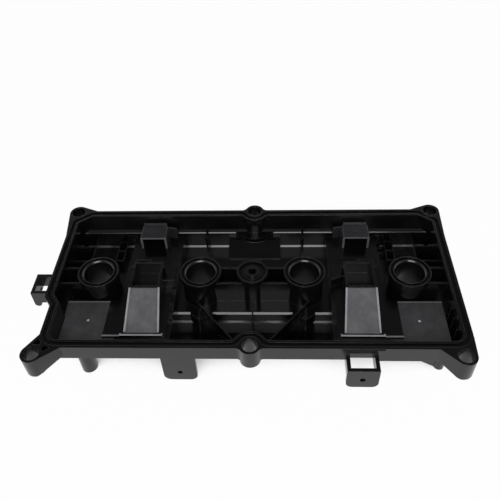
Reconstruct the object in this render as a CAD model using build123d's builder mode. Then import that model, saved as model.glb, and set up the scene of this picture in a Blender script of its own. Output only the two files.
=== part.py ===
from build123d import *
import os

# Valve cover of an in-line four, standing on its outside with the engine side up.
# X runs along the row of plug tubes, Y across the head, and the mating face is Z = 0.

# --- plug tubes and centre bolt ---
plug_pitch = 88.0
plug_bore_radius = 12.3
tube_wall = 3.2
tube_lip_width = 1.6
tube_groove_width = 2.3
tube_rim_width = 1.3
tube_head_depth = 6.0
tube_groove_depth = 3.5
tube_foot_flare = 1.0
tube_bore_bevel = 1.0
collar_depth = 36.0
centre_bore_radius = 3.6
centre_stem_radius = 12.2
centre_lip_radius = 5.5
centre_groove_inner = 8.6
centre_groove_outer = 11.4
centre_flange_radius = 13.1
centre_flange_depth = 4.5
centre_groove_depth = 2.5
centre_pad_recess = 1.2

# --- mating flange: the line where it meets the hollow ---
flange_left = -163.9
flange_right = 161.5
flange_rear = 71.0
flange_front = -71.0
jog_inset = 7.0
jog_start = -25.0
jog_end = -34.5
rear_corner_run = 12.0
rear_corner_drop = 9.0
front_corner_radius = 7.0
inner_lip = 2.0
groove_width = 3.5
outer_lip = 2.0
groove_depth = 4.0
skirt_depth = 14.0
rim_depth = 15.6
rim_thickness = 2.0
flange_depth = 15.0

# --- bolt bosses ---
boss_radius = 8.4
boss_bore_radius = 6.15
boss_depth = 19.0
boss_flare = 5.0
lip_round_boss = 4.6
rear_ledge_round_boss = 13.4
rear_bolts_out = 5.5
front_bolts_out = 13.0
mid_rear_bolt_out, mid_front_bolt_out = 6.0, 4.5
rear_left_bolt_out, rear_right_bolt_out = 3.1, 0.5
front_left_bolt_out, front_right_bolt_out = 2.1, -1.7

web_corner_radius = 3.0
front_left_web = (20.0, 17.0)
front_right_web = (16.5, 17.0)
rear_web = (17.0, 32.0)
front_left_foot_depth = 11.0
front_right_foot_depth = 14.0

# pockets in the front left web, by their corners from the bolt's axis
web_pockets = [
    [(-1.5, 8.6), (1.8, 14.1), (4.9, 10.7), (4.3, 7.8)],
    [(6.3, 4.5), (7.8, 7.8), (12.8, 5.2), (9.2, 1.6)],
]
pocket_depth = 11.0

# ribs on the wall that swings round the rear middle bolt
wall_rib_count = 4
wall_rib_first = -154.0
wall_rib_spread = 128.0
wall_rib_width = 3.6
wall_rib_depth = 1.2
wall_rib_top = 3.0

# --- hollow body, as a section across the head ---
wall = 3.0
hollow_rear = 63.7
ledge_width = 3.1
trough_depth = 33.0
trough_front = 40.0
plateau_depth = 26.0
front_step = -24.4
front_depth = 37.0
front_floor_end = -37.5
hollow_front = -66.0
section_bevel = 1.5
ledge_bevel = 0.8

# --- ribs ---
rib = 1.8
thin_rib = 1.1
backbone_rib = 2.0
backbone_top = 4.0
backbone_rear = 8.0
backbone_front = -9.2
end_rib_top = 15.0
end_rib_y = (45.0, 27.0)
end_rib_length = 16.9
diagonal_top = 20.0
centre_rib_top = 24.0
diagonal_rear_x, diagonal_rear_y = 50.0, -13.0
diagonal_front_x, diagonal_front_y = 14.0, -57.0
rung_top = 18.0
rail_top = 19.0
rung_y = (55.2, 42.9, 30.6)
rung_inboard, rung_outboard = 119.6, 126.4
short_rib_top = 13.0
short_rib_x = 44.6
short_rib_end = 54.0
end_tick_x = 155.5
end_tick_y = (-3.4, -14.0)
knob_y = (62.4, 53.0, 45.8, 40.0)
knob_length = 4.0
wall_tick_y = (-37.0, -47.0, -58.0)
wall_tick_length = 3.0
wall_tick_top = 3.0

# --- prows on the plateau's front edge, and the sloping block under the rear middle bolt ---
prow_width = (53.0, 34.0)
prow_tip = (45.0, -31.3)
prow_ridge = [(56.0, -14.5), (45.2, -19.5)]
prow_ridge_top = 24.0
ramp_block_width = 48.0
ramp_block_rear = 57.0
ramp_block_top = 19.0

# --- breather chambers and their plates ---
plate_top = 18.0
plate_thickness = 2.5
strip_inboard = 66.0
strip_outboard = 112.0
strip_front = -57.5
strip_rear = 62.0
foot_left_gap, foot_right_gap = 5.9, 3.5
foot_front = -63.0
foot_rear = -17.4
chamber_wall = 2.0

# --- drip teeth and vent nubs on the plates ---
tooth_size = 1.2
tooth_pitch = 2.4
tooth_count = 9
tooth_columns = (1.0, 3.0)
tooth_row_y = -31.2
tooth_height = 1.2
nub_x, nub_y = 136.0, -39.0
nub_radius = 1.2
nub_height = 1.0

# --- drain chutes ---
chute_base = 1.5
chute_front = -56.3
chute_outboard = 121.0
chute_step = 112.0
chute_step_y = -18.0
bar_inboard, bar_outboard = 71.8, 106.5
bar_width = 1.6
bar_height = 2.0
ramp_front = -52.0
ramp_rear = -14.0
ramp_outboard = 103.9
ramp_inboard_front = 74.7
ramp_inboard_rear = 77.8
ramp_nose = 1.0
ramp_top = 4.0
ramp_border = 1.5
ramp_sink = 0.8
duct_rear = 15.4
duct_wall = 1.8
clip_x = 97.5
clip_width = 14.0
clip_length = 7.4
clip_height = 8.0
pin_y = 8.0
pin_radius = 1.5
pin_top = 2.5
latch_inboard = 67.0
latch_y = -1.5
latch_width = 1.6
latch_height = 8.0

# --- breather hoods ---
hood_inboard = 80.4
hood_outboard = 104.2
hood_front = 46.0
hood_rear = 62.5
roof_rear = 65.0
roof_bar = 1.6
roof_bar_height = 1.2
wing_end = (72.5, 59.8)
hood_top = 4.5
hood_wall = 1.8
hood_round = 1.2

# --- outside: posts, tab and brackets ---
post_depth = 46.0
gusset_run = 45.0
gusset_top = 20.0
posts = [((-135.0, -64.4), 6.5), ((152.0, -61.8), 4.2), ((-135.0, 60.0), 6.5), ((150.0, 60.0), 6.5)]
boss_foot_bevel = 1.2
coil_screw_y = 24.0
coil_boss_radius = 5.5
coil_insert_radius = 3.6
coil_thread_radius = 2.5
coil_insert_length = 7.0
tab_left, tab_right = -69.8, -42.8
tab_depth = 43.0
tab_corner_radius = 6.0
tab_hole_depth = 32.7
tab_hole_radius = 2.0
bracket_wall = 3.0
bracket_x = 84.4
bracket_width = 24.4
bracket_reach = 17.0
bracket_top = 4.2
bracket_depth = 25.0
bracket_corner_radius = 5.0
notch_top = 7.0
notch_depth = 4.0
bracket_hole_depth = 15.5
bracket_hole_radius = 2.25
pad_left, pad_right = 69.7, 101.6
pad_top, pad_bottom = 0.8, 4.4
pad_bevel = 2.4
pad_thickness = 1.2
side_bracket_y = -9.1
side_bracket_width = 21.8
side_bracket_reach = 15.5
side_bracket_top = 5.0
side_bracket_depth = 17.0
lobe_from_end = 3.0
lobe_radius = 3.0
lobe_depth = 18.5
side_hole_y = -7.0
side_hole_depth = 14.0
side_hole_radius = 1.6
clearance = 0.15
seal_recess = 1.6

flange_width = inner_lip + groove_width + outer_lip
front_face = flange_front - flange_width
rear_face = flange_rear + flange_width
left_face = flange_left - flange_width
right_face = flange_right + flange_width
lower_left_face = left_face + jog_inset
tube_radius = plug_bore_radius + tube_wall
tube_groove_inner = plug_bore_radius + tube_lip_width
tube_groove_outer = tube_groove_inner + tube_groove_width
tube_head_radius = tube_groove_outer + tube_rim_width
chute_inboard = strip_inboard + tooth_columns[-1] + tooth_size / 2 + clearance
plug_points = [(i * plug_pitch, 0) for i in (-1.5, -0.5, 0.5, 1.5)]
rear_bolt_y = flange_rear + rear_bolts_out
front_bolt_y = flange_front - front_bolts_out
rear_corner_bolts = [
    (flange_left - rear_left_bolt_out, rear_bolt_y),
    (flange_right + rear_right_bolt_out, rear_bolt_y),
]
front_corner_bolts = [
    (flange_left - front_left_bolt_out, front_bolt_y),
    (flange_right + front_right_bolt_out, front_bolt_y),
]
mid_bolts = [(0, flange_front - mid_front_bolt_out), (0, flange_rear + mid_rear_bolt_out)]
coil_points = [(x, coil_screw_y) for x, y in plug_points]
bolt_points = rear_corner_bolts + front_corner_bolts + mid_bolts


def flange_line(grow=0.0, bulge=0.0):
    """The inner edge of the flange, grown outwards, with a bulge inwards round each middle bolt."""
    with BuildSketch() as line:
        with BuildLine():
            Polyline(
                (flange_left, flange_rear - rear_corner_drop),
                (flange_left + rear_corner_run, flange_rear),
                (flange_right - rear_corner_run, flange_rear),
                (flange_right, flange_rear - rear_corner_drop),
                (flange_right, flange_front),
                (flange_left + jog_inset, flange_front),
                (flange_left + jog_inset, jog_end),
                (flange_left, jog_start),
                close=True,
            )
        make_face()
        fillet(line.vertices().group_by(Axis.Y)[0], front_corner_radius)
        if bulge:
            for bolt in mid_bolts:
                with Locations(bolt):
                    Circle(bulge, mode=Mode.SUBTRACT)
                fillet(line.vertices(Select.LAST), bulge / 2)
        if grow:
            offset(amount=grow)
    return line.sketch


def bulged_line(grow=0.0):
    """The inner edge of the inner lip, which swings round both middle bolts."""
    return flange_line(grow, boss_radius + lip_round_boss)


def groove_ring(gap=0.0):
    """The seal groove in plan, narrowed on both sides by a gap."""
    with BuildSketch() as ring:
        add(bulged_line(inner_lip + groove_width - gap))
        add(bulged_line(inner_lip + gap), mode=Mode.SUBTRACT)
        with Locations(bolt_points):
            Circle(boss_radius + gap, mode=Mode.SUBTRACT)
    return ring.sketch


def hollow_section(grow=0.0):
    """The hollow in section across the head, grown outwards."""
    with BuildSketch(Plane.YZ) as section:
        with BuildLine():
            Polyline(
                (flange_rear, 0),
                (hollow_rear + ledge_width, -flange_depth),
                (hollow_rear, -flange_depth),
                (hollow_rear, -trough_depth),
                (trough_front, -trough_depth),
                (trough_front, -plateau_depth),
                (front_step, -plateau_depth),
                (front_step, -front_depth),
                (front_floor_end, -front_depth),
                (hollow_front, -flange_depth),
                (flange_front, 0),
                close=True,
            )
        make_face()
        heights = section.vertices().group_by(Axis.Y)
        chamfer(heights[-2], ledge_bevel)
        chamfer([v for height in heights[:-2] for v in height], section_bevel)
        if grow:
            offset(amount=grow, kind=Kind.INTERSECTION)
    return section.sketch


def envelope(grow=0.0):
    """The body below the flange, as a solid: its section run along the head and cut to its plan."""
    with BuildPart() as body:
        extrude(hollow_section(grow), amount=flange_right - flange_left, both=True)
        extrude(flange_line(grow), amount=-2 * front_depth, mode=Mode.INTERSECT)
    return body.part


def corner_web(bolt, side, end, run_along, run_down):
    """A web drawn tight round a corner boss and the places where it runs into the flange's two faces."""
    bolt_x, bolt_y = bolt
    toward_x = -1 if side > 0 else 1
    toward_y = -1 if end > 0 else 1
    with BuildSketch() as web:
        with Locations(bolt):
            Circle(boss_radius)
        with Locations(
            (bolt_x + toward_x * run_along, end + toward_y * web_corner_radius),
            (side + toward_x * web_corner_radius, bolt_y + toward_y * run_down),
        ):
            Circle(web_corner_radius)
        make_hull()
    return web.sketch


def arm(bolt, side, end, run_along, run_down, foot_depth):
    """A corner web as a solid, whose underside rises from the boss to the web's foot on the flange's face."""
    boss_axis = Vector(*bolt)
    foot = Vector(bolt[0] + (run_along if side < 0 else -run_along), end)
    run = boss_axis - foot
    fall = run.normalized() * ((boss_depth - foot_depth) / run.length)
    with BuildPart() as web:
        extrude(corner_web(bolt, side, end, run_along, run_down), amount=-boss_depth)
        underside = Plane(origin=foot - Vector(0, 0, foot_depth), z_dir=(fall.X, fall.Y, 1))
        split(bisect_by=underside, keep=Keep.TOP)
    return web.part


def plate_outline(side, grow=0.0):
    """Plan of a breather chamber: the long strip beside the chute and the wide foot in the front corner."""
    foot_outboard = flange_right - foot_right_gap if side > 0 else flange_left + foot_left_gap
    with BuildSketch() as outline:
        with BuildLine():
            Polyline(
                (side * strip_inboard, strip_front),
                (side * strip_inboard, strip_rear),
                (side * strip_outboard, strip_rear),
                (side * strip_outboard, foot_rear),
                (foot_outboard, foot_rear),
                (foot_outboard, foot_front),
                (side * strip_outboard, foot_front),
                (side * strip_outboard, strip_front),
                close=True,
            )
        make_face()
        if grow:
            offset(amount=grow, kind=Kind.INTERSECTION)
    return outline.sketch


def both_sides(paths):
    """The same paths on the left and on the right."""
    return [[(side * x, y) for x, y in path] for side in (-1, 1) for path in paths]


# The hollow inside, from the mating face down, with a broad round ledge under the rear middle bolt
with BuildPart() as hollow:
    extrude(hollow_section(), amount=flange_right - flange_left, both=True)
    extrude(bulged_line(), amount=-2 * front_depth, mode=Mode.INTERSECT)
    with BuildSketch(Plane.XY.offset(-flange_depth)):
        with Locations(mid_bolts[1]):
            Circle(boss_radius + rear_ledge_round_boss)
    extrude(amount=-front_depth, mode=Mode.SUBTRACT)

# What ribs and inner walls are trimmed to: the body, half way through its wall
body_limit = envelope(wall / 2)


def ribs(top, paths, width=rib):
    """Ribs of one top height along straight paths, run down into the floor."""
    with BuildPart() as group:
        with BuildSketch(Plane.XY.offset(-top)):
            with BuildLine():
                for path in paths:
                    Polyline(path)
            trace(line_width=width)
        extrude(amount=-front_depth)
        add(body_limit, mode=Mode.INTERSECT)
    return group.part


with BuildPart() as boss:
    with BuildSketch():
        Circle(boss_radius)
    extrude(amount=-boss_depth)
    chamfer(boss.edges().group_by(Axis.Z)[0], boss_foot_bevel)

# One plug tube and the centre boss, each as the solid that its bores are cut from
with BuildPart() as tube:
    with BuildSketch(Plane.XZ):
        with BuildLine():
            Polyline(
                (0, 0),
                (tube_head_radius, 0),
                (tube_head_radius, -tube_head_depth),
                (tube_radius, -tube_head_depth),
                (tube_radius + tube_foot_flare, -plateau_depth),
                (tube_radius + tube_foot_flare, -collar_depth),
                (0, -collar_depth),
                close=True,
            )
        make_face()
    revolve(axis=Axis.Z)

with BuildPart() as centre_boss:
    with BuildSketch(Plane.XZ):
        with BuildLine():
            Polyline(
                (0, 0),
                (centre_flange_radius, 0),
                (centre_flange_radius, -centre_flange_depth),
                (centre_stem_radius, -centre_flange_depth),
                (centre_stem_radius, -collar_depth),
                (0, -collar_depth),
                close=True,
            )
        make_face()
    revolve(axis=Axis.Z)

# The outside: body, skirt, bosses and their webs
with BuildPart() as cover:
    add(envelope(wall))
    extrude(flange_line(wall), amount=-flange_depth - wall)
    with BuildSketch() as outline:
        add(flange_line(flange_width))
        with Locations(bolt_points):
            Circle(boss_radius)
        add(corner_web(rear_corner_bolts[0], left_face, rear_face, *rear_web))
        add(corner_web(rear_corner_bolts[1], right_face, rear_face, *rear_web))
        junctions = [
            v
            for v in outline.vertices()
            if any(abs((v.center() - Vector(*p)).length - boss_radius) < 1e-3 for p in mid_bolts)
        ]
        fillet(junctions, boss_flare)
    extrude(amount=-skirt_depth)
    add(arm(front_corner_bolts[0], lower_left_face, front_face, *front_left_web, front_left_foot_depth))
    add(arm(front_corner_bolts[1], right_face, front_face, *front_right_web, front_right_foot_depth))
    with Locations(bolt_points):
        add(boss.part)

    # deeper rim of the skirt, from the front bracket to the right arm
    rim_left = bracket_x + bracket_width / 2
    rim_right = front_corner_bolts[1][0] - front_right_web[0]
    with BuildSketch(Plane.XY.offset(-skirt_depth)):
        with Locations(((rim_left + rim_right) / 2, front_face + rim_thickness / 2)):
            Rectangle(rim_right - rim_left, rim_thickness)
    extrude(amount=skirt_depth - rim_depth)

    # posts that the cover stands on, run up into the body and the skirt
    for spot, radius in posts:
        with BuildSketch(Plane.XY.offset(-post_depth)):
            with Locations(spot):
                Circle(radius)
        extrude(amount=post_depth - skirt_depth / 2)

    # gusset beside the small front post
    (gusset_x, gusset_y), post_radius = posts[1]
    with BuildSketch(Plane.XZ.offset(-gusset_y)):
        with BuildLine():
            Polyline(
                (gusset_x, -gusset_top),
                (gusset_x, -post_depth),
                (gusset_x - post_radius, -post_depth),
                (gusset_x - gusset_run, -gusset_top),
                close=True,
            )
        make_face()
    extrude(amount=rib / 2, both=True)

    # screw bosses for the ignition coils
    with BuildSketch(Plane.XY.offset(-collar_depth)):
        with Locations(coil_points):
            Circle(coil_boss_radius)
    extrude(amount=collar_depth - plateau_depth - wall / 2)

    # tab under the front flange
    with BuildSketch(Plane.XZ.offset(-front_face)) as tab:
        with Locations(((tab_left + tab_right) / 2, -(tab_depth + skirt_depth - wall) / 2)):
            Rectangle(tab_right - tab_left, tab_depth - skirt_depth + wall)
        fillet(tab.vertices().group_by(Axis.Y)[0], tab_corner_radius)
    extrude(amount=-bracket_wall)

    # bracket under the front flange: a frame of vertical plates round a window
    with BuildSketch(Plane.XY.offset(-bracket_top)):
        with Locations((bracket_x, front_face - bracket_reach / 2)):
            Rectangle(bracket_width, bracket_reach)
            with Locations((0, bracket_wall / 2)):
                Rectangle(bracket_width - 2 * bracket_wall, bracket_reach - bracket_wall, mode=Mode.SUBTRACT)
    extrude(amount=bracket_top - skirt_depth)
    with BuildSketch(Plane.XZ.offset(bracket_reach - front_face)) as lug:
        with Locations((bracket_x, -(bracket_top + bracket_depth) / 2)):
            Rectangle(bracket_width, bracket_depth - bracket_top)
        fillet(lug.vertices().group_by(Axis.Y)[0], bracket_corner_radius)
    extrude(amount=-bracket_wall)

    # pad on the skirt above that bracket, with one corner cut
    with BuildSketch(Plane.XZ.offset(-front_face)):
        with BuildLine():
            Polyline(
                (pad_left, -pad_top),
                (pad_right, -pad_top),
                (pad_right - pad_bevel, -pad_bottom),
                (pad_left, -pad_bottom),
                close=True,
            )
        make_face()
    extrude(amount=pad_thickness)

    # bracket on the left end, with a round lobe under its front wall
    with BuildSketch(Plane.XY.offset(-side_bracket_top)):
        with Locations((left_face - side_bracket_reach / 2, side_bracket_y)):
            Rectangle(side_bracket_reach, side_bracket_width)
            with Locations((bracket_wall / 2, 0)):
                Rectangle(
                    side_bracket_reach - bracket_wall,
                    side_bracket_width - 2 * bracket_wall,
                    mode=Mode.SUBTRACT,
                )
    extrude(amount=side_bracket_top - side_bracket_depth)
    lobe_x = left_face - side_bracket_reach + lobe_from_end
    with BuildSketch(Plane.XZ.offset(side_bracket_width / 2 - side_bracket_y)):
        with Locations((lobe_x, -lobe_depth)):
            Circle(lobe_radius)
        with Locations((lobe_x, -(side_bracket_top + lobe_depth) / 2)):
            Rectangle(2 * lobe_radius, lobe_depth - side_bracket_top)
    extrude(amount=-bracket_wall)

# All ribs and inner walls
tube_1, tube_2, tube_3, tube_4 = [x for x, y in plug_points]
left_end, right_end = flange_left + end_rib_length, flange_right - end_rib_length
backbone = [
    [(start, y), (end, y)]
    for y in (backbone_rear, backbone_front)
    for start, end in ((flange_left, tube_1), (tube_2, tube_3), (tube_4, flange_right))
]
end_ribs = [
    [(start, y), (end, y)]
    for y in end_rib_y
    for start, end in ((flange_left, left_end), (flange_right, right_end))
]
end_rails = [[(x, hollow_rear), (x, end_rib_y[-1])] for x in (left_end, right_end)]
rungs = both_sides([[(rung_inboard, y), (rung_outboard, y)] for y in rung_y])
rails = both_sides([[(x, hollow_rear), (x, rung_y[-1])] for x in (rung_inboard, rung_outboard)])
diagonals = both_sides([[(diagonal_rear_x, diagonal_rear_y), (diagonal_front_x, diagonal_front_y)]])
short_ribs = both_sides([[(short_rib_x, hollow_rear + ledge_width), (short_rib_x, short_rib_end)]])
ridges = both_sides([prow_ridge + [prow_tip]])
knobs = [[(strip_outboard, y), (strip_outboard + knob_length, y)] for y in knob_y]
end_tick = [[(-end_tick_x, y) for y in end_tick_y]]
wall_ticks = [[(flange_right, y), (flange_right - wall_tick_length, y)] for y in wall_tick_y]

with BuildPart() as chamber_walls:
    with BuildSketch(Plane.XY.offset(-plate_top - plate_thickness)):
        for side in (-1, 1):
            add(plate_outline(side))
            add(plate_outline(side, -chamber_wall), mode=Mode.SUBTRACT)
    extrude(amount=-front_depth)
    add(body_limit, mode=Mode.INTERSECT)

# solid prows that stand out from the plateau's front edge, down to the floor
with BuildPart() as prows:
    with BuildSketch(Plane.XY.offset(-plateau_depth)):
        for side in (-1, 1):
            with BuildLine():
                Polyline(
                    (side * prow_width[0], front_step),
                    (side * prow_tip[0], prow_tip[1]),
                    (side * prow_width[1], front_step),
                    (side * prow_width[1], front_step + wall),
                    (side * prow_width[0], front_step + wall),
                    close=True,
                )
            make_face()
    extrude(amount=-front_depth)
    add(body_limit, mode=Mode.INTERSECT)

# block that slopes from the rear ledge's bulge down to the plateau
with BuildPart() as ramp_block:
    with BuildSketch(Plane.YZ):
        with BuildLine():
            Polyline(
                (hollow_rear, -ramp_block_top),
                (ramp_block_rear, -ramp_block_top),
                (trough_front, -plateau_depth),
                (trough_front, -front_depth),
                (hollow_rear, -front_depth),
                close=True,
            )
        make_face()
    extrude(amount=ramp_block_width / 2, both=True)
    add(body_limit, mode=Mode.INTERSECT)

# upright ribs on the wall round the rear middle bolt
with BuildPart() as wall_ribs:
    with BuildSketch(Plane.XY.offset(-wall_rib_top)):
        with Locations(mid_bolts[1]):
            with PolarLocations(
                boss_radius + lip_round_boss, wall_rib_count, wall_rib_first, wall_rib_spread, endpoint=True
            ):
                Rectangle(2 * wall_rib_depth, wall_rib_width)
    extrude(amount=wall_rib_top - flange_depth)

with BuildPart() as shell:
    add(cover.part)
    add(hollow.part, mode=Mode.SUBTRACT)
    add(ribs(backbone_top, backbone, backbone_rib))
    add(ribs(end_rib_top, end_ribs))
    add(ribs(end_rib_top, end_rails, thin_rib))
    add(ribs(rung_top, rungs))
    add(ribs(rail_top, rails, thin_rib))
    add(ribs(diagonal_top, diagonals, thin_rib))
    add(ribs(centre_rib_top, [[(0, 0), (0, flange_front)]], thin_rib))
    add(ribs(short_rib_top, short_ribs))
    add(ribs(prow_ridge_top, ridges, thin_rib))
    add(ribs(rung_top, knobs))
    add(ribs(rung_top, end_tick, thin_rib))
    add(ribs(wall_tick_top, wall_ticks, thin_rib))
    add([chamber_walls.part, prows.part, ramp_block.part, wall_ribs.part])
    with Locations(plug_points):
        add(tube.part)
    add(centre_boss.part)

    # the seal groove, the plug tube grooves and the recess round the centre bolt
    extrude(groove_ring(), amount=-groove_depth, mode=Mode.SUBTRACT)
    with BuildSketch():
        with Locations(plug_points):
            Circle(tube_groove_outer)
            Circle(tube_groove_inner, mode=Mode.SUBTRACT)
    extrude(amount=-tube_groove_depth, mode=Mode.SUBTRACT)
    with BuildSketch():
        Circle(centre_groove_outer)
        Circle(centre_groove_inner, mode=Mode.SUBTRACT)
    extrude(amount=-centre_groove_depth, mode=Mode.SUBTRACT)
    with BuildSketch():
        Circle(centre_groove_inner)
        Circle(centre_lip_radius, mode=Mode.SUBTRACT)
    extrude(amount=-centre_pad_recess, mode=Mode.SUBTRACT)

    # bores
    with BuildSketch():
        with Locations(plug_points):
            Circle(plug_bore_radius)
        Circle(centre_bore_radius)
        with Locations(bolt_points):
            Circle(boss_bore_radius)
    extrude(amount=-post_depth, mode=Mode.SUBTRACT)
    with Locations([(x, y, -tube_bore_bevel / 2) for x, y in plug_points]):
        Cone(plug_bore_radius, plug_bore_radius + tube_bore_bevel, tube_bore_bevel, mode=Mode.SUBTRACT)

    # pockets in the front left web, split by a rib
    with BuildSketch():
        for pocket in web_pockets:
            with BuildLine():
                Polyline([Vector(*corner) + Vector(*front_corner_bolts[0]) for corner in pocket], close=True)
            make_face()
    extrude(amount=-pocket_depth, mode=Mode.SUBTRACT)

    # blind holes for the coil inserts
    with BuildSketch(Plane.XY.offset(-collar_depth)):
        with Locations(coil_points):
            Circle(coil_insert_radius)
    extrude(amount=coil_insert_length, mode=Mode.SUBTRACT)

    # holes in the tab and the two brackets, and the notch behind the front bracket
    with BuildSketch(Plane.XZ.offset(-front_face)):
        with Locations(((tab_left + tab_right) / 2, -tab_hole_depth)):
            Circle(tab_hole_radius)
    extrude(amount=-bracket_wall, mode=Mode.SUBTRACT)
    with BuildSketch(Plane.XZ.offset(bracket_reach - front_face)):
        with Locations((bracket_x, -bracket_hole_depth)):
            Circle(bracket_hole_radius)
    extrude(amount=-bracket_wall, mode=Mode.SUBTRACT)
    with BuildSketch(Plane.YZ.offset(left_face - side_bracket_reach)):
        with Locations((side_hole_y, -side_hole_depth)):
            Circle(side_hole_radius)
    extrude(amount=bracket_wall, mode=Mode.SUBTRACT)
    with BuildSketch(Plane.XZ.offset(-front_face)):
        with Locations((bracket_x, -(notch_top + skirt_depth) / 2)):
            Rectangle(bracket_width - 2 * bracket_wall, skirt_depth - notch_top)
    extrude(amount=-notch_depth, mode=Mode.SUBTRACT)

# Rubber seals in their grooves: the perimeter gasket is flush with the mating face, and the rings
# stand on the floors of theirs and end just under the lips
with BuildPart() as perimeter_gasket:
    extrude(groove_ring(clearance), amount=seal_recess - groove_depth)

with BuildPart() as tube_seal:
    with BuildSketch(Plane.XY.offset(-seal_recess)):
        Circle(tube_groove_outer - clearance)
        Circle(tube_groove_inner + clearance, mode=Mode.SUBTRACT)
    extrude(amount=seal_recess - tube_groove_depth)

with BuildPart() as centre_bolt_seal:
    with BuildSketch(Plane.XY.offset(-seal_recess)):
        Circle(centre_groove_outer - clearance)
        Circle(centre_groove_inner + clearance, mode=Mode.SUBTRACT)
    extrude(amount=seal_recess - centre_groove_depth)

# Brass inserts for the coil screws
with BuildPart() as coil_inserts:
    with BuildSketch(Plane.XY.offset(-collar_depth)):
        with Locations(coil_points):
            Circle(coil_insert_radius)
            Circle(coil_thread_radius, mode=Mode.SUBTRACT)
    extrude(amount=coil_insert_length)


def baffle_plate(side):
    """The plate that closes a breather chamber, with a double comb of drip teeth down its inboard edge."""
    with BuildPart() as plate:
        with BuildSketch(Plane.XY.offset(-plate_top)):
            add(plate_outline(side))
        extrude(amount=-plate_thickness)
        with BuildSketch(Plane.XY.offset(-plate_top)):
            for number, column in enumerate(tooth_columns):
                with Locations((side * (strip_inboard + column), tooth_row_y + number * tooth_pitch / 2)):
                    with GridLocations(0, tooth_pitch, 1, tooth_count):
                        Rectangle(tooth_size, tooth_size)
        extrude(amount=tooth_height)
        with BuildSketch(Plane.XY.offset(-plate_top)):
            with Locations((side * nub_x, nub_y)):
                Circle(nub_radius)
        extrude(amount=nub_height)
        add(envelope(-clearance), mode=Mode.INTERSECT)
    return plate.part


def ramp_plan(side, inset=0.0):
    """The ramp in plan, a little narrower at its rear."""
    with BuildSketch(Plane.XY.offset(-plate_top)) as plan:
        with BuildLine():
            Polyline(
                (side * (ramp_outboard - inset), ramp_front),
                (side * (ramp_outboard - inset), ramp_rear),
                (side * (ramp_inboard_rear + inset), ramp_rear),
                (side * (ramp_inboard_front + inset), ramp_front),
                close=True,
            )
        make_face()
    return plan.sketch


def ramp_wedge(side, inset, sink):
    """A wedge under the ramp's face, drawn in from its borders and sunk below them."""
    with BuildPart() as wedge:
        with BuildSketch(Plane.YZ):
            with BuildLine():
                Polyline(
                    (ramp_front, -2 * plate_top),
                    (ramp_rear, -2 * plate_top),
                    (ramp_rear, -ramp_top - sink),
                    (ramp_front, -plate_top + chute_base + ramp_nose - sink),
                    close=True,
                )
            make_face()
        extrude(amount=side * chute_outboard)
        extrude(ramp_plan(side, inset), amount=plate_top, mode=Mode.INTERSECT)
    return wedge.part


def chute(side, latch_rise):
    """A clipped-on duct whose front runs down as a ramp between two raised borders."""
    duct_middle = side * (ramp_outboard + ramp_inboard_rear) / 2
    duct_width = ramp_outboard - ramp_inboard_rear
    duct_length = duct_rear - ramp_rear
    floor = -plate_top + chute_base
    base_rear = duct_rear + clip_length
    with BuildPart() as duct:
        with BuildSketch(Plane.XY.offset(-plate_top)):
            with Locations((side * (chute_inboard + chute_outboard) / 2, (chute_front + base_rear) / 2)):
                Rectangle(chute_outboard - chute_inboard, base_rear - chute_front)
            with Locations((side * (chute_step + chute_outboard) / 2, (chute_step_y + base_rear) / 2)):
                Rectangle(chute_outboard - chute_step, base_rear - chute_step_y, mode=Mode.SUBTRACT)
        extrude(amount=chute_base)
        add(ramp_wedge(side, 0, 0))
        extrude(ramp_plan(side, ramp_border), amount=plate_top, mode=Mode.SUBTRACT)
        add(ramp_wedge(side, ramp_border, ramp_sink))
        add(ramp_wedge(side, ramp_border + duct_wall, ramp_sink + duct_wall), mode=Mode.SUBTRACT)

        # lip along the front edge, with an ear at each end
        with BuildSketch(Plane.XY.offset(floor)):
            with Locations((side * (bar_inboard + bar_outboard) / 2, chute_front + bar_width / 2)):
                Rectangle(bar_outboard - bar_inboard, bar_width)
        extrude(amount=bar_height)
        with BuildSketch(Plane.XY.offset(floor)):
            for x in (bar_inboard, bar_outboard):
                with Locations((side * x, chute_front + bar_width)):
                    Rectangle(bar_width, 2 * bar_width)
            with Locations((side * (bar_outboard + chute_outboard) / 2, chute_front + bar_width / 2)):
                Rectangle(chute_outboard - bar_outboard, bar_width)
        extrude(amount=bar_height / 2)

        # open-topped duct behind the ramp
        with BuildSketch(Plane.XY.offset(floor)):
            with Locations((duct_middle, (duct_rear + ramp_rear) / 2)):
                Rectangle(duct_width, duct_length)
        extrude(amount=plate_top - chute_base - ramp_top)
        with BuildSketch(Plane.XY.offset(floor)):
            with Locations((duct_middle, (duct_rear + ramp_rear) / 2)):
                Rectangle(duct_width - 2 * duct_wall, duct_length - 2 * duct_wall)
        extrude(amount=plate_top, mode=Mode.SUBTRACT)

        # clip housing, pins and latch
        with BuildSketch(Plane.XY.offset(floor)):
            with Locations((side * clip_x, duct_rear + clip_length / 2)):
                Rectangle(clip_width, clip_length)
                Rectangle(clip_width - 2 * duct_wall, clip_length - 2 * duct_wall, mode=Mode.SUBTRACT)
        extrude(amount=clip_height)
        with BuildSketch(Plane.XY.offset(floor)):
            with Locations([(side * x, pin_y) for x in (ramp_inboard_rear, ramp_outboard)]):
                Circle(pin_radius)
        extrude(amount=plate_top - chute_base - pin_top)
        with BuildSketch(Plane.XY.offset(floor)):
            with BuildLine():
                Line(
                    (side * latch_inboard, latch_y),
                    (side * (ramp_inboard_rear + duct_wall / 2), latch_y + latch_rise),
                )
            trace(line_width=latch_width)
        extrude(amount=latch_height)
    return duct.part


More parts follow.
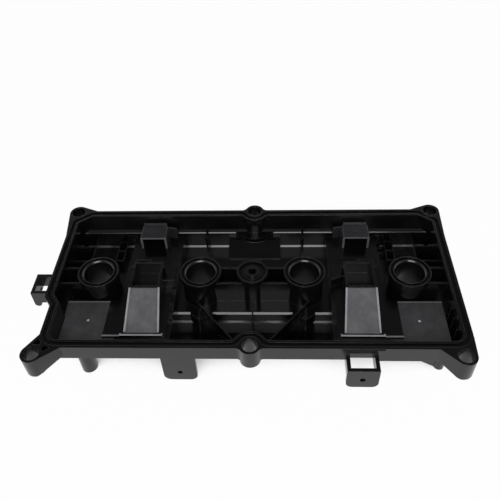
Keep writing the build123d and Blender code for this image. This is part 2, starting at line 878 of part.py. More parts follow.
def breather_hood(side):
    """A small roof on legs over the breather's mouth, open to the front."""
    middle = side * (hood_inboard + hood_outboard) / 2
    width = hood_outboard - hood_inboard
    length = hood_rear - hood_front
    with BuildPart() as hood:
        with BuildSketch(Plane.XZ.offset(-hood_front)):
            with Locations((middle, -(plate_top + hood_top) / 2)):
                Rectangle(width, plate_top - hood_top)
        extrude(amount=-length)
        with BuildSketch(Plane.XZ.offset(-hood_front)):
            with Locations((middle, -(plate_top + hood_top + hood_wall) / 2)):
                Rectangle(width - 2 * hood_wall, plate_top - hood_top - hood_wall)
        extrude(amount=hood_wall - length, mode=Mode.SUBTRACT)
        fillet(hood.edges().filter_by(Axis.Y).group_by(Axis.Z)[-1], hood_round)

        # eave over the rear wall, with a raised bar along its edge
        with BuildSketch(Plane.XY.offset(-hood_top)):
            with Locations((middle, (hood_rear + roof_rear) / 2)):
                Rectangle(width - 2 * hood_round, roof_rear - hood_rear)
        extrude(amount=-hood_wall)
        with BuildSketch(Plane.XY.offset(-hood_top)):
            with Locations((middle, roof_rear - roof_bar / 2)):
                Rectangle(width - 2 * hood_round, roof_bar)
        extrude(amount=roof_bar_height)

        # wing wall from the inboard rear corner
        with BuildSketch(Plane.XY.offset(-plate_top)):
            with BuildLine():
                Line(
                    (side * (hood_inboard + hood_wall / 2), hood_rear - hood_wall / 2),
                    (side * wing_end[0], wing_end[1]),
                )
            trace(line_width=hood_wall)
        extrude(amount=plate_top - hood_top - hood_round)
        with BuildSketch(Plane.XY.offset(-hood_top)):
            with Locations((middle, (hood_front + hood_rear) / 2)):
                Circle(nub_radius)
        extrude(amount=nub_height)
    return hood.part


os.makedirs("parts", exist_ok=True)
shell.part.label = "cover"
export_step(shell.part, "parts/cover.step")
perimeter_gasket.part.label = "perimeter_gasket"
export_step(perimeter_gasket.part, "parts/perimeter_gasket.step")
for number, point in enumerate(plug_points, 1):
    seal = tube_seal.part.moved(Location(point))
    seal.label = f"tube_seal_{number}"
    export_step(seal, f"parts/{seal.label}.step")
centre_bolt_seal.part.label = "centre_bolt_seal"
export_step(centre_bolt_seal.part, "parts/centre_bolt_seal.step")
coil_inserts.part.label = "coil_inserts"
export_step(coil_inserts.part, "parts/coil_inserts.step")
for name, side, latch_rise in (("left", -1, 0.0), ("right", 1, 5.0)):
    for piece, part in (
        ("baffle_plate", baffle_plate(side)),
        ("chute", chute(side, latch_rise)),
        ("breather_hood", breather_hood(side)),
    ):
        part.label = f"{piece}_{name}"
        export_step(part, f"parts/{part.label}.step")
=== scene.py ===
"""Looks of a moulded engine valve cover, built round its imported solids.

X runs along the row of plug tubes, Y across the head, and Z up from the mating face.
Lengths are in metres.
"""

import logging
import math
from dataclasses import dataclass
from enum import Enum

import bmesh
import bpy
from mathutils import Matrix, Vector

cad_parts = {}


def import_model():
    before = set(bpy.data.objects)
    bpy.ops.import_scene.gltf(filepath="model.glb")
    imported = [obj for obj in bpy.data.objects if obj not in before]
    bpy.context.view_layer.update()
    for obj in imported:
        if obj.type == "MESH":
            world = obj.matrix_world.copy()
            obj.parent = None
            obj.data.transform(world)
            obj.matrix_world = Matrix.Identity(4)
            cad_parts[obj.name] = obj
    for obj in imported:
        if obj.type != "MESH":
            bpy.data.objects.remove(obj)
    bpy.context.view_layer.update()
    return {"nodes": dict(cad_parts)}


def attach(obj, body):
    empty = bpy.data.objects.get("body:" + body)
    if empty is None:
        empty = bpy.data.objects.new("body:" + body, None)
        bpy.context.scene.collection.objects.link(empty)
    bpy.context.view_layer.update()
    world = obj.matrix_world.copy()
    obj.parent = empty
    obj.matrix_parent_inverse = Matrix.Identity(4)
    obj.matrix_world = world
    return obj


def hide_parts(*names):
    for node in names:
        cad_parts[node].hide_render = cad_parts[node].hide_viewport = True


log = logging.getLogger("valve_cover")

MM = 0.001

WELD = 0.000002  # corners closer than this are one
SLIVER = 0.000001  # faces thinner than this are dropped
FLAT = 0.00001  # how level the top of a seal is


class Slot(Enum):
    """The record's slots."""

    BODY = "body"
    PLATES = "plates"
    RUBBER = "rubber"
    BRASS = "brass"


class Kind(Enum):
    """What a node is, by a word of its name, and the slot that it belongs to."""

    COVER = ("cover", Slot.BODY)
    PLATE = ("plate", Slot.PLATES)
    CHUTE = ("chute", Slot.PLATES)
    HOOD = ("hood", Slot.PLATES)
    GASKET = ("gasket", Slot.RUBBER)
    RING = ("seal", Slot.RUBBER)
    INSERTS = ("inserts", Slot.BRASS)

    def __init__(self, word: str, slot: Slot) -> None:
        """Keep the two parts of the value under their own names."""
        self.word = word
        self.slot = slot

    @classmethod
    def of(cls, name: str) -> "Kind":
        """The kind of the node with this name."""
        return next(kind for kind in cls if kind.word in name)


# ---------------------------------------------------------------- node trees


class Value:
    """A socket that takes part in Python arithmetic."""

    def __init__(self, graph: "Graph", socket: bpy.types.NodeSocket) -> None:
        """Wrap an output socket of a graph."""
        self.graph = graph
        self.socket = socket

    def _math(self, operation: str, *terms: "float | Value") -> "Value":
        """Add a Math node over the given terms."""
        settings = {"operation": operation}
        return self.graph.node("ShaderNodeMath", settings, dict(enumerate(terms)))

    def __add__(self, other: "float | Value") -> "Value":
        """Sum."""
        return self._math("ADD", self, other)

    def __sub__(self, other: "float | Value") -> "Value":
        """Difference."""
        return self._math("SUBTRACT", self, other)

    def __rsub__(self, other: float) -> "Value":
        """Reflected difference."""
        return self._math("SUBTRACT", other, self)

    def __mul__(self, other: "float | Value") -> "Value":
        """Product."""
        return self._math("MULTIPLY", self, other)

    __radd__ = __add__
    __rmul__ = __mul__

    def size(self) -> "Value":
        """This value without its sign."""
        return self._math("ABSOLUTE", self)

    def clamp(self) -> "Value":
        """This value held between 0 and 1."""
        return self._math("MINIMUM", self._math("MAXIMUM", self, 0.0), 1.0)

    def step(self, low: float, high: float) -> "Value":
        """A smooth ramp from 0 at low to 1 at high."""
        return self.graph.node(
            "ShaderNodeMapRange",
            {"interpolation_type": "SMOOTHSTEP"},
            {"Value": self, "From Min": low, "From Max": high},
        )


Colour = tuple[float, float, float]
Point = tuple[float, float, float]
Band = tuple[float, float]
Input = float | Point | Value | bpy.types.Material


class Graph:
    """A node tree of any kind."""

    def __init__(self, tree: bpy.types.NodeTree) -> None:
        """Open a node tree."""
        self.tree = tree

    def node(
        self,
        kind: str,
        settings: dict[str, str | int],
        inputs: dict[int | str, Input],
        output: int | str = 0,
    ) -> Value:
        """Add one node.

        Args:
            kind: the node's type.
            settings: its properties, which are set first.
            inputs: values or links, by socket name or number.
            output: the socket that is returned.

        Returns:
            The chosen output.
        """
        made = self.tree.nodes.new(kind)
        for key, value in settings.items():
            setattr(made, key, value)
        for key, value in inputs.items():
            self.feed(made.inputs[key], value)
        return Value(self, made.outputs[output])

    def feed(self, socket: bpy.types.NodeSocket, value: Input) -> None:
        """Link a value to a socket, or set the socket's own constant.

        Args:
            socket: the input socket.
            value: the value, link or constant.
        """
        if isinstance(value, Value):
            self.tree.links.new(value.socket, socket)
        elif isinstance(value, tuple) and socket.type == "RGBA":
            socket.default_value = (*value, 1.0)
        else:
            socket.default_value = value

    def dot(self, first: Input, second: Input) -> Value:
        """How far two directions agree."""
        settings = {"operation": "DOT_PRODUCT"}
        return self.node("ShaderNodeVectorMath", settings, {0: first, 1: second}, "Value")


class Shader(Graph):
    """The node tree of a material or a world, with the nodes that the finishes share."""

    # a Mix node's colour sockets, which share their names with its other kinds of socket
    MIX_FIRST, MIX_SECOND, MIX_RESULT = 6, 7, 2

    def __init__(self, owner: bpy.types.Material | bpy.types.World) -> None:
        """Open the tree of a material or a world."""
        owner.use_nodes = True
        super().__init__(owner.node_tree)
        self.owner = owner

    @classmethod
    def material(cls, name: str) -> "Shader":
        """Start a new material's tree."""
        return cls(bpy.data.materials.new(name))

    @property
    def place(self) -> Value:
        """The point on the surface, in the object's own coordinates."""
        return self.node("ShaderNodeTexCoord", {}, {}, "Object")

    def axes(self, vector: Value) -> tuple[Value, Value, Value]:
        """A vector's x, y and z."""
        split = self.node("ShaderNodeSeparateXYZ", {}, {"Vector": vector}).socket.node
        return tuple(Value(self, axis) for axis in split.outputs)

    def mix(self, factor: "float | Value", first: Input, second: Input) -> Value:
        """Blend two colours."""
        inputs = {"Factor": factor, self.MIX_FIRST: first, self.MIX_SECOND: second}
        return self.node("ShaderNodeMix", {"data_type": "RGBA"}, inputs, self.MIX_RESULT)

    def specks(self, scale: float) -> Value:
        """Distance to the nearest of a scatter of points."""
        inputs = {"Vector": self.place, "Scale": scale}
        return self.node("ShaderNodeTexVoronoi", {}, inputs, "Distance")

    def bump(
        self, height: Value, distance: float, strength: float, normal: "Value | None" = None
    ) -> Value:
        """Turn a height into a normal.

        Args:
            height: the height, from 0 to 1.
            distance: the height's real size in metres.
            strength: how much of it shows.
            normal: a normal that it builds on.

        Returns:
            The bumped normal.
        """
        inputs = {"Height": height, "Distance": distance, "Strength": strength}
        if normal is not None:
            inputs["Normal"] = normal
        return self.node("ShaderNodeBump", {}, inputs)

    def rounded_edges(self, radius: float, samples: int, band: Band) -> tuple[Value, Value]:
        """Rounded edges.

        Args:
            radius: the edge radius in metres.
            samples: how many rays look for the edges.
            band: how far the normal turns from plain surface to full edge.

        Returns:
            The rounded normal, and a mask that is 1 on the edges.
        """
        rounded = self.node("ShaderNodeBevel", {"samples": samples}, {"Radius": radius})
        smooth = self.node("ShaderNodeNewGeometry", {}, {}, "Normal")
        return rounded, (1.0 - self.dot(rounded, smooth)).step(*band)

    def finish(self, **inputs: Input) -> bpy.types.Material:
        """Feed the Principled shader's sockets and hand over the material.

        Args:
            inputs: values by socket name, with _ for a space.

        Returns:
            The material.
        """
        shader = self.tree.nodes["Principled BSDF"]
        for key, value in inputs.items():
            self.feed(shader.inputs[key.replace("_", " ")], value)
        return self.owner


# ---------------------------------------------------------------- finishes


@dataclass(frozen=True)
class Noise:
    """A noise over a surface, by its cycles per metre, its detail and its roughness."""

    scale: float
    detail: float
    rough: float
    stretch: Point | None = None

    def on(self, g: Shader) -> Value:
        """Lay the noise over a surface, finer along the axes with the larger stretch.

        Args:
            g: the finish's tree.

        Returns:
            The noise, from 0 to 1.
        """
        place = g.place
        if self.stretch:
            place = g.node("ShaderNodeMapping", {}, {"Vector": place, "Scale": self.stretch})
        inputs = {
            "Vector": place,
            "Scale": self.scale,
            "Detail": self.detail,
            "Roughness": self.rough,
        }
        return g.node("ShaderNodeTexNoise", {}, inputs)


@dataclass(frozen=True)
class Zone:
    """A stretch of a piece, alike on both sides of x 0, that differs from the rest in its finish.

    It is the box from low to high. Its faces are those that look along facing, and where climb
    gives the y, the z and the slope of a plane that rises with y, only what lies over that plane.
    Where facing is None, only the painted highlight on its edges differs. Most zones paint
    light in: paler faces where light falls on them, and bright edges as painted highlights.
    """

    low: Point
    high: Point
    # colour painted on the zone's edges: a painted highlight, or the body's own colour where it
    # takes one off
    edge: Colour
    facing: Point | None = (0.0, 0.0, 1.0)
    climb: Point | None = None
    # the zone's faces are mottled between these two colours, mostly painted light
    colour: Colour = (0.034, 0.034, 0.036)
    pale: Colour = (0.062, 0.062, 0.066)
    rough: float = 0.5
    blur: float = 0.0002
    turn_band: Band = (0.5, 0.8)
    mottle: Noise = Noise(70.0, 5.0, 0.7)
    streaks: Noise = Noise(520.0, 3.0, 0.6, (1.0, 0.06, 1.0))
    mottle_share: float = 0.8
    mottle_band: Band = (0.3, 0.7)

    def within(self, g: Shader) -> Value:
        """How far a point lies within the zone.

        Args:
            g: the finish's tree.

        Returns:
            1 inside the box and over the climbing plane, and 0 elsewhere.
        """
        x, y, z = g.axes(g.place)
        inside = 1.0
        for along, low, high in zip((x.size(), y, z), self.low, self.high):
            over = along.step(low, low + self.blur)
            inside = over * (1.0 - along.step(high - self.blur, high)) * inside
        if self.climb:
            start, height, slope = self.climb
            rise = z - height - (y - start) * slope
            inside = inside * rise.step(-self.blur / 2, self.blur / 2)
        return inside

    def looking(self, g: Shader) -> Value:
        """1 on faces that look along facing, and 0 on those turned well away from it."""
        normal = g.node("ShaderNodeNewGeometry", {}, {}, "True Normal")
        return g.dot(normal, self.facing).step(*self.turn_band)

    def mottled(self, g: Shader) -> Value:
        """Cloud and streak the zone between its two tones.

        Args:
            g: the finish's tree.

        Returns:
            The zone's colour.
        """
        streaks = self.streaks.on(g) * (1.0 - self.mottle_share)
        tone = (self.mottle.on(g) * self.mottle_share + streaks).step(*self.mottle_band)
        return g.mix(tone, self.colour, self.pale)


@dataclass(frozen=True)
class MouldedPlastic:
    """Glass-filled nylon as it comes from the mould."""

    name: str = "moulded_nylon"
    colour: Colour = (0.0018, 0.0018, 0.0021)
    pale: Colour = (0.0035, 0.0035, 0.0039)
    # colour of the pale specks, and of the painted highlight along the rounded edges
    speck_and_edge_highlight_colour: Colour = (0.008, 0.008, 0.0088)
    zones: tuple[Zone, ...] = ()
    clouds: Noise = Noise(22.0, 4.0, 0.6)
    fibres: Noise = Noise(240.0, 3.0, 0.65, (0.12, 1.0, 1.0))
    grain: Noise = Noise(2600.0, 3.0, 0.7)
    cloud_share: float = 0.7
    tone_band: Band = (0.34, 0.68)
    rough_low: float = 0.13
    rough_high: float = 0.22
    grain_rough: float = 0.08
    grain_share: float = 0.6
    grain_depth: float = 0.000003
    grain_strength: float = 0.8
    speck_scale: float = 900.0
    speck_band: Band = (0.16, 0.06)
    speck_share: float = 0.35
    edge_radius: float = 0.00045
    edge_samples: int = 6
    edge_band: Band = (0.01, 0.25)
    edge_highlight_share: float = 0.6

    def material(self) -> bpy.types.Material:
        """Build the finish.

        Returns:
            A plastic with flow clouds, fibre streaks, fine grain and softly rounded edges painted
            slightly paler as a painted highlight, and its zones, mostly painted light, over it.
        """
        g = Shader.material(self.name)
        rounded, edges = g.rounded_edges(self.edge_radius, self.edge_samples, self.edge_band)
        clouds, fibres, grain = (noise.on(g) for noise in (self.clouds, self.fibres, self.grain))
        specks = g.specks(self.speck_scale).step(*self.speck_band)
        flow = clouds * self.cloud_share + fibres * (1.0 - self.cloud_share)
        tone = flow.step(*self.tone_band)
        colour = g.mix(tone, self.colour, self.pale)
        rough = tone * (self.rough_high - self.rough_low) + self.rough_low
        rough = rough + grain * self.grain_rough
        edge_highlight_tone = self.speck_and_edge_highlight_colour
        for zone in self.zones:
            inside = zone.within(g)
            edge_highlight_tone = g.mix(inside, edge_highlight_tone, zone.edge)
            if zone.facing:
                # the zone's faces take its colour, mostly painted light, and its roughness
                zone_faces = inside * zone.looking(g)
                colour = g.mix(zone_faces, colour, zone.mottled(g))
                rough = rough + zone_faces * (zone.rough - rough)
        # pale specks in the plastic, then a painted highlight along the edges
        colour = g.mix(specks * self.speck_share, colour, self.speck_and_edge_highlight_colour)
        colour = g.mix(edges * self.edge_highlight_share, colour, edge_highlight_tone)
        height = grain * self.grain_share + fibres * (1.0 - self.grain_share)
        normal = g.bump(height, self.grain_depth, self.grain_strength, rounded)
        return g.finish(Base_Color=colour, Roughness=rough, Normal=normal)


@dataclass(frozen=True)
class SealRubber:
    """Moulded rubber with a dull bloom."""

    name: str = "seal_rubber"
    colour: Colour = (0.0016, 0.0016, 0.0017)
    bloom_colour: Colour = (0.0034, 0.0034, 0.0033)
    bloom: Noise = Noise(160.0, 5.0, 0.6)
    bloom_band: Band = (0.42, 0.7)
    rough: float = 0.62
    bloom_rough: float = 0.15
    specular: float = 0.2
    pores: Noise = Noise(5200.0, 2.0, 0.5)
    pore_depth: float = 0.00001
    pore_strength: float = 0.7

    def material(self) -> bpy.types.Material:
        """Build the finish.

        Returns:
            A dull rubber with bloom and fine pores.
        """
        g = Shader.material(self.name)
        bloom = self.bloom.on(g).step(*self.bloom_band)
        return g.finish(
            Base_Color=g.mix(bloom, self.colour, self.bloom_colour),
            Roughness=bloom * self.bloom_rough + self.rough,
            Specular_IOR_Level=self.specular,
            Normal=g.bump(self.pores.on(g), self.pore_depth, self.pore_strength),
        )


@dataclass(frozen=True)
class TurnedBrass:
    """Turned brass of a moulded-in insert."""

    name: str = "turned_brass"
    colour: Colour = (0.72, 0.5, 0.2)
    tarnish_colour: Colour = (0.34, 0.22, 0.09)
    tarnish: Noise = Noise(420.0, 4.0, 0.6)
    tarnish_band: Band = (0.4, 0.75)
    rough: float = 0.25
    tarnish_rough: float = 0.25
    marks: Noise = Noise(1800.0, 2.0, 0.5, (1.0, 1.0, 8.0))
    mark_depth: float = 0.00003
    mark_strength: float = 0.6

    def material(self) -> bpy.types.Material:
        """Build the finish.

        Returns:
            A brass with turning marks and light tarnish.
        """
        g = Shader.material(self.name)
        tarnish = self.tarnish.on(g).step(*self.tarnish_band)
        return g.finish(
            Base_Color=g.mix(tarnish, self.colour, self.tarnish_colour),
            Metallic=1.0,
            Roughness=tarnish * self.tarnish_rough + self.rough,
            Normal=g.bump(self.marks.on(g), self.mark_depth, self.mark_strength),
        )


# ---------------------------------------------------------------- pieces


def add_object(name: str, data: bpy.types.ID) -> bpy.types.Object:
    """Put a new object into the scene.

    Args:
        name: the object's name.
        data: its mesh, lamp or camera.

    Returns:
        The object, at the origin.
    """
    made = bpy.data.objects.new(name, data)
    bpy.context.scene.collection.objects.link(made)
    return made


def dress(piece: bpy.types.Object, material: bpy.types.Material) -> None:
    """Give a piece its finish and its body.

    Args:
        piece: the visible object.
        material: its finish.
    """
    piece.data.materials.clear()
    piece.data.materials.append(material)
    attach(piece, "root")


@dataclass
class Piece:
    """One node of the cover, as a welded copy of its solid in its finish."""

    name: str
    node: bpy.types.Object
    material: bpy.types.Material
    slot: Slot
    sharp: float = 28.0

    def shape(self) -> bpy.types.Object:
        """Weld the solid's loose triangles into one mesh with smooth curved faces.

        Returns:
            The new object, at the origin, with edges sharp where they turn by more than sharp.
        """
        name = f"{self.name}_dressed"
        mesh = self.node.data.copy()
        mesh.name = name
        if "custom_normal" in mesh.attributes:
            mesh.attributes.remove(mesh.attributes["custom_normal"])
        shape = bmesh.new()
        shape.from_mesh(mesh)
        bmesh.ops.remove_doubles(shape, verts=shape.verts, dist=WELD)
        bmesh.ops.dissolve_degenerate(shape, edges=shape.edges, dist=SLIVER)
        shape.to_mesh(mesh)
        shape.free()
        for polygon in mesh.polygons:
            polygon.use_smooth = True
        mesh.set_sharp_from_angle(angle=math.radians(self.sharp))
        return add_object(name, mesh)

    def build(self) -> list[bpy.types.Object]:
        """Make the piece, dress it and let it take its solid's place.

        Returns:
            All that was made for this node.
        """
        made = self.shape()
        dress(made, self.material)
        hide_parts(self.name)
        return [made]


@dataclass(frozen=True)
class Bead:
    """A sealing bead along the top of a seal, between two lower shoulders.

    Each shoulder is as wide as shoulder and lies depth under the old top. Each flank of the bead
    leans in by flank, and the bead stands over the shoulders by crown.
    """

    shoulder: float
    flank: float
    depth: float
    crown: float


@dataclass
class Seal(Piece):
    """A rubber seal with a bead on its flat top."""

    bead: Bead = Bead(shoulder=0.5 * MM, flank=0.3 * MM, depth=0.4 * MM, crown=0.3 * MM)

    def shape(self) -> bpy.types.Object:
        """Turn the flat top of the seal into its bead.

        Returns:
            The new object, inside its solid's box.
        """
        made = super().shape()
        shape = bmesh.new()
        shape.from_mesh(made.data)
        top = max(vertex.co.z for vertex in shape.verts)
        upper = [vertex for vertex in shape.verts if top - vertex.co.z < FLAT]
        bmesh.ops.translate(shape, verts=upper, vec=(0.0, 0.0, -self.bead.depth))
        lowered = set(upper)
        faces = [face for face in shape.faces if lowered.issuperset(face.verts)]
        for width, rise in ((self.bead.shoulder, 0.0), (self.bead.flank, self.bead.crown)):
            bmesh.ops.inset_region(
                shape, faces=faces, thickness=width, depth=rise, use_even_offset=False
            )
        shape.to_mesh(made.data)
        shape.free()
        return made


@dataclass
class InsertThreads:
    """The inside threads of the brass inserts, one helix repeated along the row."""

    inserts: bpy.types.Object
    material: bpy.types.Material
    slot: Slot
    count: int = 4
    pitch: float = 1.0 * MM
    bore: float = 2.5 * MM
    tooth: float = 0.3 * MM
    steps: int = 20
    tooth_sides: int = 3

    def tree(self) -> bpy.types.NodeTree:
        """Write the node tree.

        Returns:
            A tree that sweeps one toothed helix and repeats it along x.
        """
        tree = bpy.data.node_groups.new("insert_threads", "GeometryNodeTree")
        ends = tree.interface
        ends.new_socket("Geometry", in_out="OUTPUT", socket_type="NodeSocketGeometry")
        for name in ("Bore", "Length", "Tooth", "Turns"):
            ends.new_socket(name, in_out="INPUT", socket_type="NodeSocketFloat")
        for name in ("First", "Step"):
            ends.new_socket(name, in_out="INPUT", socket_type="NodeSocketVector")
        g = Graph(tree)
        bore, length, tooth, turns, first, step = (
            g.node("NodeGroupInput", {}, {}, name)
            for name in ("Bore", "Length", "Tooth", "Turns", "First", "Step")
        )
        helix = g.node(
            "GeometryNodeCurveSpiral",
            {},
            {
                "Resolution": self.steps,
                "Rotations": turns,
                "Start Radius": bore,
                "End Radius": bore,
                "Height": length,
            },
        )
        profile = g.node(
            "GeometryNodeCurvePrimitiveCircle",
            {},
            {"Resolution": self.tooth_sides, "Radius": tooth},
        )
        thread = g.node(
            "GeometryNodeCurveToMesh",
            {},
            {"Curve": helix, "Profile Curve": profile, "Fill Caps": True},
        )
        row = g.node(
            "GeometryNodeMeshLine",
            {},
            {"Count": self.count, "Start Location": first, "Offset": step},
        )
        threads = g.node("GeometryNodeInstanceOnPoints", {}, {"Points": row, "Instance": thread})
        real = g.node("GeometryNodeRealizeInstances", {}, {"Geometry": threads})
        painted = g.node(
            "GeometryNodeSetMaterial", {}, {"Geometry": real, "Material": self.material}
        )
        g.feed(tree.nodes.new("NodeGroupOutput").inputs["Geometry"], painted)
        return tree

    def sizes(self) -> dict[str, Input]:
        """Measure the inserts.

        Returns:
            The tree's inputs by name: where the first thread starts, how far it is to the next,
            and how long each is.
        """
        corners = [vertex.co for vertex in self.inserts.data.vertices]
        low_x, low_y, low_z = (min(corner[axis] for corner in corners) for axis in range(3))
        high_x, high_y, high_z = (max(corner[axis] for corner in corners) for axis in range(3))
        outer = (high_y - low_y) / 2
        spacing = (high_x - low_x - 2 * outer) / (self.count - 1)
        length = high_z - low_z - 2 * self.tooth
        return {
            "Bore": self.bore,
            "Length": length,
            "Tooth": self.tooth,
            "Turns": length / self.pitch,
            "First": (low_x + outer, (high_y + low_y) / 2, low_z + self.tooth),
            "Step": (spacing, 0.0, 0.0),
        }

    def build(self) -> bpy.types.Object:
        """Make and dress the threads of all the inserts.

        Returns:
            One mesh with a thread in every insert.
        """
        maker = add_object("thread_maker", bpy.data.meshes.new("thread_maker"))
        modifier = maker.modifiers.new("threads", "NODES")
        modifier.node_group = self.tree()
        sizes = self.sizes()
        for socket in modifier.node_group.interface.items_tree:
            if socket.in_out == "INPUT":
                modifier[socket.identifier] = sizes[socket.name]
        graph = bpy.context.evaluated_depsgraph_get()
        mesh = bpy.data.meshes.new_from_object(maker.evaluated_get(graph))
        maker.modifiers.clear()
        bpy.data.objects.remove(maker)
        threads = add_object("insert_threads", mesh)
        dress(threads, self.material)
        return threads


@dataclass
class CoilInserts(Piece):
    """The brass inserts for the coil screws, with their threads."""

    def build(self) -> list[bpy.types.Object]:
        """Make the inserts, then the threads inside them.

        Returns:
            The inserts and their threads.
        """
        made = super().build()
        return made + [InsertThreads(made[0], self.material, self.slot).build()]


# ---------------------------------------------------------------- the studio


@dataclass
class Studio:
    """White table and backdrop, one softbox and the camera."""

    floor_z: float = -46.0 * MM
    floor_size: float = 6.0
    floor_colour: Colour = (0.8, 0.8, 0.8)
    floor_rough: float = 0.9
    floor_specular: float = 0.1
    paper_glow: float = 0.97
    contact_reach: float = 0.055
    contact_samples: int = 16
    contact_band: Band = (0.05, 0.3)
    backdrop_top: float = 24.0
    ceiling_start: float = 43.0
    backdrop_light: float = 1.0
    ceiling_light: float = 0.09
    lamp_place: Point = (0.0, -0.71, 0.79)
    lamp_aim: Point = (0.0, 0.0, 0.0)
    lamp_size: float = 0.6
    lamp_watts: float = 6.8
    eye: Point = (21.22 * MM, -336.87 * MM, 365.75 * MM)
    pitch: float = 45.18
    yaw: float = -3.78
    roll: float = -2.85
    focal_pixels: float = 587.94
    frame_pixels: float = 500.0
    sensor_mm: float = 36.0
    clip: Band = (0.01, 50.0)

    def camera(self) -> None:
        """Set the camera from its eye point and its three angles."""
        pitch, yaw, roll = (math.radians(a) for a in (self.pitch, self.yaw, self.roll))
        reach = math.cos(pitch)
        ahead = Vector((math.sin(yaw) * reach, math.cos(yaw) * reach, -math.sin(pitch)))
        level = Vector((math.cos(yaw), -math.sin(yaw), 0.0))
        over = level.cross(ahead)
        right = level * math.cos(roll) + over * math.sin(roll)
        up = over * math.cos(roll) - level * math.sin(roll)
        data = bpy.data.cameras.new("camera")
        data.lens = self.focal_pixels * self.sensor_mm / self.frame_pixels
        data.sensor_width = self.sensor_mm
        data.clip_start, data.clip_end = self.clip
        camera = add_object("camera", data)
        axes = Matrix((right, up, -ahead)).transposed().to_4x4()
        camera.matrix_world = Matrix.Translation(self.eye) @ axes
        bpy.context.scene.camera = camera

    def lamp(self) -> None:
        """Hang the square softbox, which faces its aim."""
        data = bpy.data.lights.new("front_softbox", "AREA")
        data.shape, data.size, data.energy = "SQUARE", self.lamp_size, self.lamp_watts
        lamp = add_object("front_softbox", data)
        place, aim = Vector(self.lamp_place), Vector(self.lamp_aim)
        lamp.location = place
        lamp.rotation_euler = (aim - place).to_track_quat("-Z", "Y").to_euler()

    def world(self) -> None:
        """Light the air: white all round under a darker ceiling, alike for every ray."""
        world = bpy.data.worlds.new("studio_air")
        bpy.context.scene.world = world
        g = Shader(world)
        toward = g.node("ShaderNodeTexCoord", {}, {}, "Generated")
        height = g.axes(toward)[2]
        start, end = (
            math.sin(math.radians(angle)) for angle in (self.backdrop_top, self.ceiling_start)
        )
        ceiling = height.step(start, end)
        light = ceiling * (self.ceiling_light - self.backdrop_light) + self.backdrop_light
        background = g.tree.nodes["Background"]
        g.feed(background.inputs["Color"], (1.0, 1.0, 1.0))
        g.feed(background.inputs["Strength"], light)

    def floor(self) -> None:
        """Lay a white table that looks white to the eye and keeps the object's shadow."""
        half = self.floor_size / 2
        mesh = bpy.data.meshes.new("table")
        corners = [
            (x * half, y * half, self.floor_z) for x, y in ((-1, -1), (1, -1), (1, 1), (-1, 1))
        ]
        mesh.from_pydata(corners, [], [(0, 1, 2, 3)])
        table = add_object("table", mesh)
        mesh.materials.append(self.paper())

    def paper(self) -> bpy.types.Material:
        """Build the table's finish.

        Returns:
            A paper that glows white to the camera and to mirror and glass rays, except close
            under the object, where it is plain paper and takes the shadow.
        """
        g = Shader.material("table_paper")
        paper = Value(g, g.tree.nodes["Principled BSDF"].outputs[0])
        rays = ("Is Camera Ray", "Is Glossy Ray", "Is Transmission Ray")
        seen = sum(g.node("ShaderNodeLightPath", {}, {}, ray) for ray in rays).clamp()
        glow = g.node("ShaderNodeEmission", {}, {"Strength": seen})
        open_air = g.node(
            "ShaderNodeAmbientOcclusion",
            {"samples": self.contact_samples},
            {"Distance": self.contact_reach},
            "AO",
        )
        share = open_air.step(*self.contact_band) * self.paper_glow
        blend = g.node("ShaderNodeMixShader", {}, {0: share, 1: paper, 2: glow})
        g.feed(g.tree.nodes["Material Output"].inputs["Surface"], blend)
        return g.finish(
            Base_Color=self.floor_colour,
            Roughness=self.floor_rough,
            Specular_IOR_Level=self.floor_specular,
        )

    def build(self) -> None:
        """Set the whole studio."""
        bpy.context.scene.view_settings.view_transform = "Standard"
        self.world()
        self.floor()
        self.lamp()
        self.camera()
        log.info("studio set")


# ---------------------------------------------------------------- the valve cover


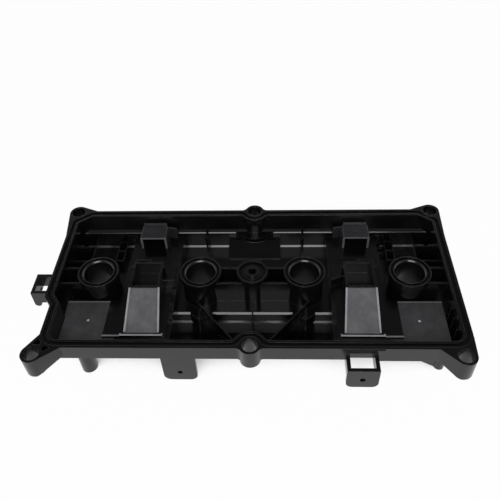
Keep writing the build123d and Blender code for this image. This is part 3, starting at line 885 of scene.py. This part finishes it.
@dataclass
class ValveCover:
    """The whole cover, built and dressed node by node."""

    nodes: dict[str, bpy.types.Object]
    body: MouldedPlastic = MouldedPlastic(
        zones=(
            # painted highlights on the edges in the bays before the plateau
            Zone(
                low=(-0.001, -0.066, -0.036),
                high=(0.0665, -0.02, -0.004),
                edge=(0.13, 0.13, 0.135),
                facing=None,
            ),
            # ledge under the rear flange: rougher, its edges left the body colour without a
            # painted highlight
            Zone(
                low=(-0.001, 0.0646, -0.0156),
                high=(0.17, 0.0685, -0.0138),
                edge=MouldedPlastic.colour,
                facing=(0.0, -0.7071, 0.7071),
                colour=MouldedPlastic.colour,
                pale=MouldedPlastic.pale,
                rough=0.95,
            ),
        )
    )
    plates: MouldedPlastic = MouldedPlastic(
        name="plate_nylon",
        # painted highlight on the plates' edges, also the colour of their specks
        speck_and_edge_highlight_colour=(0.02, 0.02, 0.021),
        zones=(
            # foot, matt and mottled, its upward faces painted paler as painted light; the strip
            # along its rear edge, a painted highlight line; and the nub on it, a painted glint
            Zone(
                low=(0.1105, -0.06, -0.03),
                high=(0.16, -0.0192, 0.0),
                edge=(0.06, 0.06, 0.063),
            ),
            Zone(
                low=(0.1105, -0.0192, -0.03),
                high=(0.16, -0.01, 0.0),
                edge=(0.12, 0.12, 0.125),
                colour=(0.1, 0.1, 0.105),
                pale=(0.14, 0.14, 0.147),
            ),
            Zone(
                low=(0.1345, -0.0405, -0.0176),
                high=(0.1375, -0.0375, 0.0),
                edge=(0.4, 0.4, 0.41),
                colour=(0.3, 0.3, 0.31),
                pale=(0.45, 0.45, 0.46),
            ),
        ),
    )
    ducts: MouldedPlastic = MouldedPlastic(
        name="duct_nylon",
        # painted highlight on the ducts' edges, also the colour of their specks
        speck_and_edge_highlight_colour=(0.03, 0.03, 0.0315),
        zones=(
            # ramp, its face painted paler as painted light, its raised borders and bar painted
            # bright as painted highlights, and the lip at its foot painted as a highlight
            Zone(
                low=(0.0715, -0.0565, -0.0164),
                high=(0.1068, -0.0141, 0.0),
                edge=(0.46, 0.46, 0.48),
                colour=(0.09, 0.09, 0.096),
                pale=(0.145, 0.145, 0.155),
            ),
            Zone(
                low=(0.0715, -0.0568, -0.0162),
                high=(0.1068, -0.0141, 0.0),
                edge=(0.46, 0.46, 0.48),
                climb=(-0.052, -0.0159, 0.3026),
                colour=(0.3, 0.3, 0.315),
                pale=(0.4, 0.4, 0.42),
                rough=0.3,
            ),
            Zone(
                low=(0.1065, -0.0575, -0.0163),
                high=(0.122, -0.0546, 0.0),
                edge=(0.3, 0.3, 0.31),
                colour=(0.16, 0.16, 0.168),
                pale=(0.22, 0.22, 0.23),
            ),
        ),
    )
    hoods: MouldedPlastic = MouldedPlastic(
        name="hood_nylon",
        colour=(0.013, 0.013, 0.0145),
        pale=(0.021, 0.021, 0.0235),
        # painted highlight on the hoods' edges, also the colour of their specks
        speck_and_edge_highlight_colour=(0.085, 0.085, 0.092),
        zones=(
            # face of the front frame, its front-facing faces painted paler as painted light
            Zone(
                low=(0.078, 0.0455, -0.0185),
                high=(0.107, 0.0475, 0.0),
                edge=(0.14, 0.14, 0.15),
                facing=(0.0, -1.0, 0.0),
                colour=(0.07, 0.07, 0.075),
                pale=(0.11, 0.11, 0.117),
            ),
        ),
    )
    rubber: SealRubber = SealRubber()
    brass: TurnedBrass = TurnedBrass()
    gasket_bead: Bead = Bead(shoulder=0.9 * MM, flank=0.45 * MM, depth=1.7 * MM, crown=0.7 * MM)

    def piece(self, name: str, finishes: dict[Kind, bpy.types.Material]) -> Piece:
        """Choose what builds a node.

        Args:
            name: the node's name.
            finishes: the material of each kind of node.

        Returns:
            The piece, not yet built.
        """
        kind = Kind.of(name)
        given = (name, self.nodes[name], finishes[kind], kind.slot)
        match kind:
            case Kind.GASKET:
                return Seal(*given, bead=self.gasket_bead)
            case Kind.RING:
                return Seal(*given)
            case Kind.INSERTS:
                return CoilInserts(*given)
            case _:
                return Piece(*given)

    def build(self) -> list[bpy.types.Object]:
        """Build every node in its finish.

        Returns:
            All the pieces.
        """
        finishes = {
            Kind.COVER: self.body.material(),
            Kind.PLATE: self.plates.material(),
            Kind.CHUTE: self.ducts.material(),
            Kind.HOOD: self.hoods.material(),
            Kind.RING: self.rubber.material(),
            Kind.INSERTS: self.brass.material(),
        }
        finishes[Kind.GASKET] = finishes[Kind.RING]
        return [made for name in self.nodes for made in self.piece(name, finishes).build()]


def main() -> None:
    """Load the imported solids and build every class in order."""
    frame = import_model()
    Studio().build()
    for made in ValveCover(frame["nodes"]).build():
        log.info("%s: %d faces", made.name, len(made.data.polygons))


if __name__ == "__main__":
    logging.basicConfig(level=logging.INFO, format="%(name)s: %(message)s")
    main()
